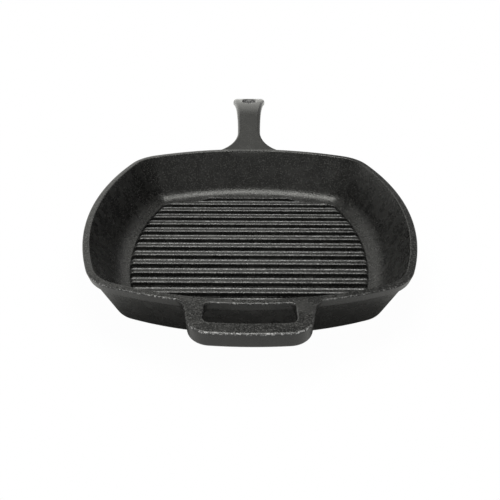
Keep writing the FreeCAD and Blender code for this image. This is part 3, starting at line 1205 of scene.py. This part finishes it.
@dataclass
class LongHandle:
    """Arched handle with a flared root, a wide rounded tip and a hanging hole."""

    outline: RimOutline
    wall: WallSection
    neck_width: float = 25.2
    tip_width: float = 38.4
    tip_radius: float = 15.0
    tip: float = 265.8
    thickness: float = 8.0
    rise: float = math.radians(19.0)
    run: float = 53.5
    bend_radius: float = 107.0
    root_fillet: float = 36.0
    root_step: float = 0.32
    root_depth: float = 4.0
    upper_round: float = 3.8
    lower_round: float = 2.5
    # Faint paleness of the handle's edges, worn and painted with a highlight.
    edge_wear_and_highlight: float = 0.05
    hole_width: float = 15.0
    hole_length: float = 22.0
    hole_middle: float = 238.5
    hole_round: float = 2.8
    # Paleness of the hole's edge, partly worn all round, and a painted highlight on its far wall at the
    # end nearest the tip.
    hole_wear_and_highlight: float = 0.8
    far_wall_highlight: float = 3.0
    far_wall_highlight_focus: int = 4
    spot_start: float = 3.0
    spot_reach: float = 45.0
    spot_pitch: Plan = (3.0, 2.5)
    spot_gap: float = 1.0
    nodes: tuple[str, ...] = ("long_handle",)

    def profile(self, along: float) -> tuple[float, float]:
        """Follow the top face: a straight rise, then the bend over its crest.

        Args:
            along: Distance from the rim.

        Returns:
            Height of the face and cosine of its slope.
        """
        start = self.wall.rim_height - self.root_step
        if along < self.run:
            return start + along * math.tan(self.rise), math.cos(self.rise)
        past = along - self.run - self.bend_radius * math.sin(self.rise)
        drop = math.sqrt(self.bend_radius**2 - past**2)
        centre = start + self.run * math.tan(self.rise) - self.bend_radius * math.cos(self.rise)
        return centre + drop, drop / self.bend_radius

    def place(self, u: float, v: float, depth: float) -> Space:
        """Point of the handle under a plan point, at a depth below the top face."""
        height, slope = self.profile(math.hypot(u, v) - self.outline.bow_radius)
        return (u, v - self.outline.bow_offset, height - depth / slope)

    def plan(self, circle: float, inward: float) -> list[Plan]:
        """Anticlockwise outline of the handle.

        Args:
            circle: Radius of the pan's side at this height.
            inward: How far the outline is drawn in from the handle's full size.

        Returns:
            Closed loop of (u, v) points; its ends run on inside the wall.
        """
        half = self.neck_width / 2.0 - inward
        root = flare(half, self.root_fillet + inward, circle - inward, steps=24)
        neck = root[-1][1]
        round_tip = self.tip_radius - inward
        tip = self.tip - inward + self.outline.bow_offset
        corner = (self.tip_width / 2.0 - self.tip_radius, tip - round_tip)
        narrowing = half - corner[0]
        length = corner[1] - neck
        hollow = (narrowing**2 + length**2 - round_tip**2) / (2.0 * (round_tip - narrowing))
        turn = math.atan2(length, corner[0] - half - hollow)
        side = arc_points((half + hollow, neck), hollow, math.pi, turn, steps=40)
        end = arc_points(corner, round_tip, turn - math.pi, math.pi / 2.0, steps=18)
        hidden = (circle - self.root_depth) / (circle - inward)
        return both_sides(root + side[1:] + end[1:], hidden)

    def hole(self) -> list[Plan]:
        """Anticlockwise outline of the hanging hole.

        Returns:
            Closed loop of (u, v) points.
        """
        half = self.hole_width / 2.0
        straight = self.hole_length / 2.0 - half
        middle = self.hole_middle + self.outline.bow_offset
        far = arc_points((0.0, middle + straight), half, 0.0, math.pi, steps=16)
        near = arc_points((0.0, middle - straight), half, math.pi, 2.0 * math.pi, steps=16)
        return far + near

    def hole_rub_and_highlight(self, plan: Sequence[Plan]) -> np.ndarray:
        """Find how pale the hole's edge is: worn all round, with a painted highlight on the far wall at
        the end nearest the tip.

        Args:
            plan: Points round the hole.

        Returns:
            The wear of each point.
        """
        middle = self.hole_middle + self.outline.bow_offset
        toward = np.array([(v - middle) / (self.hole_length / 2.0) for _, v in plan])
        return self.hole_wear_and_highlight + self.far_wall_highlight * np.clip(toward, 0.0, 1.0) ** self.far_wall_highlight_focus

    def face(self, skin: CastSkin, outer: Sequence[int], hole: Sequence[int], depth: float) -> None:
        """Fill the top or bottom face with points enough to follow the bend.

        Args:
            skin: The handle's skin, which gains the face.
            outer: Numbers of the points round the handle.
            hole: Numbers of the points round the hole.
            depth: How far the face lies below the top.
        """
        shift = self.outline.bow_offset
        edge, gap = ([(x, y + shift) for x, y in skin.plan(one)] for one in (outer, hole))
        apart, onward = self.spot_pitch
        columns = np.arange(-self.spot_reach, self.spot_reach + apart / 2.0, apart)
        rows = np.arange(self.outline.bow_radius - self.spot_start, max(v for _, v in edge), onward)
        spots = between(np.array([(u, v) for v in rows for u in columns]), edge, gap, self.spot_gap)
        skin.cap(outer, [hole], [self.place(u, v, depth) for u, v in spots])

    def build(self, finish: bpy.types.Material) -> bpy.types.Object:
        """Make the handle's mesh.

        Args:
            finish: The material of the handles.

        Returns:
            The handle as one closed piece.
        """
        skin = CastSkin()
        loops = []
        holes = []
        steps = edge_steps(self.thickness, self.upper_round, self.lower_round, wear_and_highlight=self.edge_wear_and_highlight)
        for inward, depth, wear_and_highlight in steps:
            inset = self.wall.outside(self.wall.rim_height - depth)
            plan = self.plan(self.outline.bow_radius - inset, inward)
            loops.append(skin.loop([self.place(u, v, depth) for u, v in plan], wear_and_highlight))
        for inward, depth, _ in edge_steps(self.thickness, self.hole_round, self.hole_round):
            plan = moved_out(self.hole(), inward)
            # The hole's worn paleness and the far wall's painted highlight come in over the upper edge's
            # round.
            rub_and_highlight = self.hole_rub_and_highlight(plan) * min(depth / self.hole_round, 1.0) ** 2
            holes.append(skin.loop([self.place(u, v, depth) for u, v in plan], rub_and_highlight))
        skin.bands(loops)
        skin.bands(holes)
        self.face(skin, loops[0], holes[0], 0.0)
        self.face(skin, loops[-1], holes[-1], self.thickness)
        return skin.piece("long_handle_arch", finish)


@dataclass(frozen=True)
class SoftLamp:
    """Wide soft lamp, which shines down until it is tilted about X."""

    name: str
    place: Space
    size: Plan
    power: float
    tilt: float = 0.0

    def add(self, tint: Space) -> None:
        """Hang the lamp where the camera doesn't see it.

        Args:
            tint: Colour of its light.
        """
        data = bpy.data.lights.new(self.name, "AREA")
        data.shape = "RECTANGLE"
        data.size, data.size_y = (c * MM for c in self.size)
        data.energy = self.power
        data.color = tint
        lamp = linked(self.name, data)
        lamp.location = [c * MM for c in self.place]
        lamp.rotation_euler = (self.tilt, 0.0, 0.0)
        lamp.visible_camera = False


@dataclass
class Studio:
    """White studio: pale floor, soft lamps above and behind, and a dim room with brighter parts.

    The room's spans are values of a direction's X, Y or Z between which a brighter part fades.
    """

    camera_place: Space = (-2.73, -448.04, 282.36)
    camera_tilt: float = math.radians(59.26)
    camera_turn: float = math.radians(0.53)
    lens: float = 41.09
    sensor: float = 36.0
    shift: Plan = (0.01694, -0.01886)
    nearest: float = 10.0
    lamps: tuple[SoftLamp, ...] = (
        SoftLamp("overhead_softbox", (-60.0, -30.0, 1100.0), (800.0, 450.0), 10.0),
        SoftLamp("backdrop_panel", (-420.0, 620.0, 250.0), (1100.0, 450.0), 1.38, -math.pi / 2.0),
    )
    tint: Space = (1.0, 1.0, 0.95)
    left_share: float = 0.5
    room: float = 0.06
    backdrop: float = 0.06
    backdrop_back: Span = (0.0, 0.7)
    ceiling: float = 0.58
    ceiling_up: Span = (0.66, 0.86)
    front: float = 0.44
    front_near: Span = (0.4, 0.9)
    window: float = 0.30
    window_side: Span = (0.80, 0.92)
    window_top: Span = (0.28, 0.45)
    shoulder: float = 0.40
    shoulder_side: Span = (0.32, 0.44)
    shoulder_back: Span = (0.35, 0.55)
    shoulder_foot: Span = (0.40, 0.52)
    shoulder_top: Span = (0.74, 0.86)
    aside: float = 0.32
    aside_side: Span = (0.18, 0.28)
    aside_back: Span = (0.5, 0.75)
    aside_top: Span = (0.42, 0.55)
    floor_reach: float = 9000.0
    floor_ring: Span = (148.0, 188.0)
    # Painted shade: the floor's colour is darker near and under the pan than far away.
    floor_shaded_greys: Span = (0.45, 0.75)
    floor_white: float = 0.98
    floor_shine: float = 0.25

    def build(self) -> None:
        """Set up the camera, the lamps, the room and the floor."""
        bpy.context.scene.view_settings.view_transform = "Standard"
        self.add_camera()
        for lamp in self.lamps:
            lamp.add(self.tint)
        self.add_room()
        self.add_floor()

    def add_camera(self) -> None:
        """Camera at the photograph's viewing angle, with depth of field off."""
        data = bpy.data.cameras.new("photo_camera")
        data.lens = self.lens
        data.sensor_width = self.sensor
        data.shift_x, data.shift_y = self.shift
        data.clip_start = self.nearest * MM
        camera = linked("photo_camera", data)
        camera.location = [c * MM for c in self.camera_place]
        camera.rotation_euler = (self.camera_tilt, 0.0, self.camera_turn)
        bpy.context.scene.camera = camera

    def add_room(self) -> None:
        """World that is white to the camera and a dim room with brighter parts to the pan."""
        world = bpy.data.worlds.new("studio_room")
        board = Board.blank(world)
        across, along, up = board.parts(board.wire("ShaderNodeTexCoord", out="Generated"))
        sideways = abs(across)
        leftward = 1.0 - self.left_share * across
        level = self.room + self.backdrop * along.ease(*self.backdrop_back)
        level = (level + self.ceiling * up.ease(*self.ceiling_up)) * leftward
        level = level + self.front * (-1.0 * along).ease(*self.front_near)
        window = sideways.ease(*self.window_side) * (1.0 - up.ease(*self.window_top)) * leftward
        shoulder = sideways.ease(*self.shoulder_side) * along.ease(*self.shoulder_back)
        shoulder = shoulder * up.ease(*self.shoulder_foot) * (1.0 - up.ease(*self.shoulder_top))
        level = level + self.window * window + self.shoulder * shoulder
        aside = across.ease(*self.aside_side) * along.ease(*self.aside_back)
        aside = self.aside * aside * (1.0 - up.ease(*self.aside_top))
        camera, glossy, through = board.rays()
        seen = camera.most(through).most(aside * glossy)
        room = board.wire("ShaderNodeBackground", {}, {"Color": (*self.tint, 1.0), "Strength": level})
        white = board.wire("ShaderNodeBackground", {}, {"Color": WHITE, "Strength": 1.0})
        board.node("ShaderNodeOutputWorld", {}, {"Surface": board.blend(seen, room, white)})
        bpy.context.scene.world = world

    def add_floor(self) -> None:
        """Wide pale floor that keeps a faint shadow of the pan, with painted shade that makes its colour
        darker under and near the pan.
        """
        mesh = bpy.data.meshes.new("studio_floor")
        reach = self.floor_reach * MM
        corners = ((-reach, -reach), (reach, -reach), (reach, reach), (-reach, reach))
        mesh.from_pydata([(*corner, 0.0) for corner in corners], [], [(0, 1, 2, 3)])
        pale = bpy.data.materials.new("pale_floor")
        board = Board.blank(pale)
        across, along, _ = board.parts(board.place())
        far = (across * across + along * along).root().over(self.floor_ring)
        camera, glossy, through = board.rays()
        white = self.floor_white + (1.0 - self.floor_white) * far
        seen = (white * camera.most(through)).most(self.floor_shine * far * glossy)
        # Painted shade: the paper near the pan is darker than the paper far from it.
        papers = [{"Color": (grey, grey, grey, 1.0)} for grey in self.floor_shaded_greys]
        near, away = (board.wire("ShaderNodeBsdfDiffuse", {}, paper) for paper in papers)
        glow = board.wire("ShaderNodeEmission", {}, {"Color": WHITE, "Strength": 1.0})
        both = board.blend(seen, board.blend(far, near, away), glow)
        board.node("ShaderNodeOutputMaterial", {}, {"Surface": both})
        mesh.materials.append(pale)
        linked("studio_floor", mesh)


def enrol(piece: bpy.types.Object, nodes: Sequence[str]) -> None:
    """Tie one finished piece to the frame and report it.

    Args:
        piece: The piece.
        nodes: Names of the CAD nodes that it stands for.
    """
    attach(piece, BODY)
    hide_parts(*nodes)
    log.info("%s stands for %d nodes with %d faces", piece.name, len(nodes), len(piece.data.polygons))


def main() -> None:
    """Build the pan's pieces in order, tie them to the frame and light them."""
    logging.basicConfig(level=logging.INFO, format="%(name)s: %(message)s")
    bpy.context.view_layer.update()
    low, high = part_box("rim_lip")
    outline = RimOutline((high.x - low.x) / 2.0 / MM, (high.y - low.y) / 2.0 / MM)
    wall = WallSection(high.z / MM)
    bowl = Bowl(outline, wall)
    parts = [
        (bowl, SeasonedIron(Skin.BOWL)),
        (GrillRibs(outline, bowl.bed_height), RibIron(Skin.RIBS)),
        (HelperLoop(outline, wall), SeasonedIron(Skin.HELPER)),
        (LongHandle(outline, wall), HandledIron(Skin.HANDLE)),
    ]
    for part, finish in parts:
        enrol(part.build(finish.material()), part.nodes)
    Studio().build()


if __name__ == "__main__":
    main()
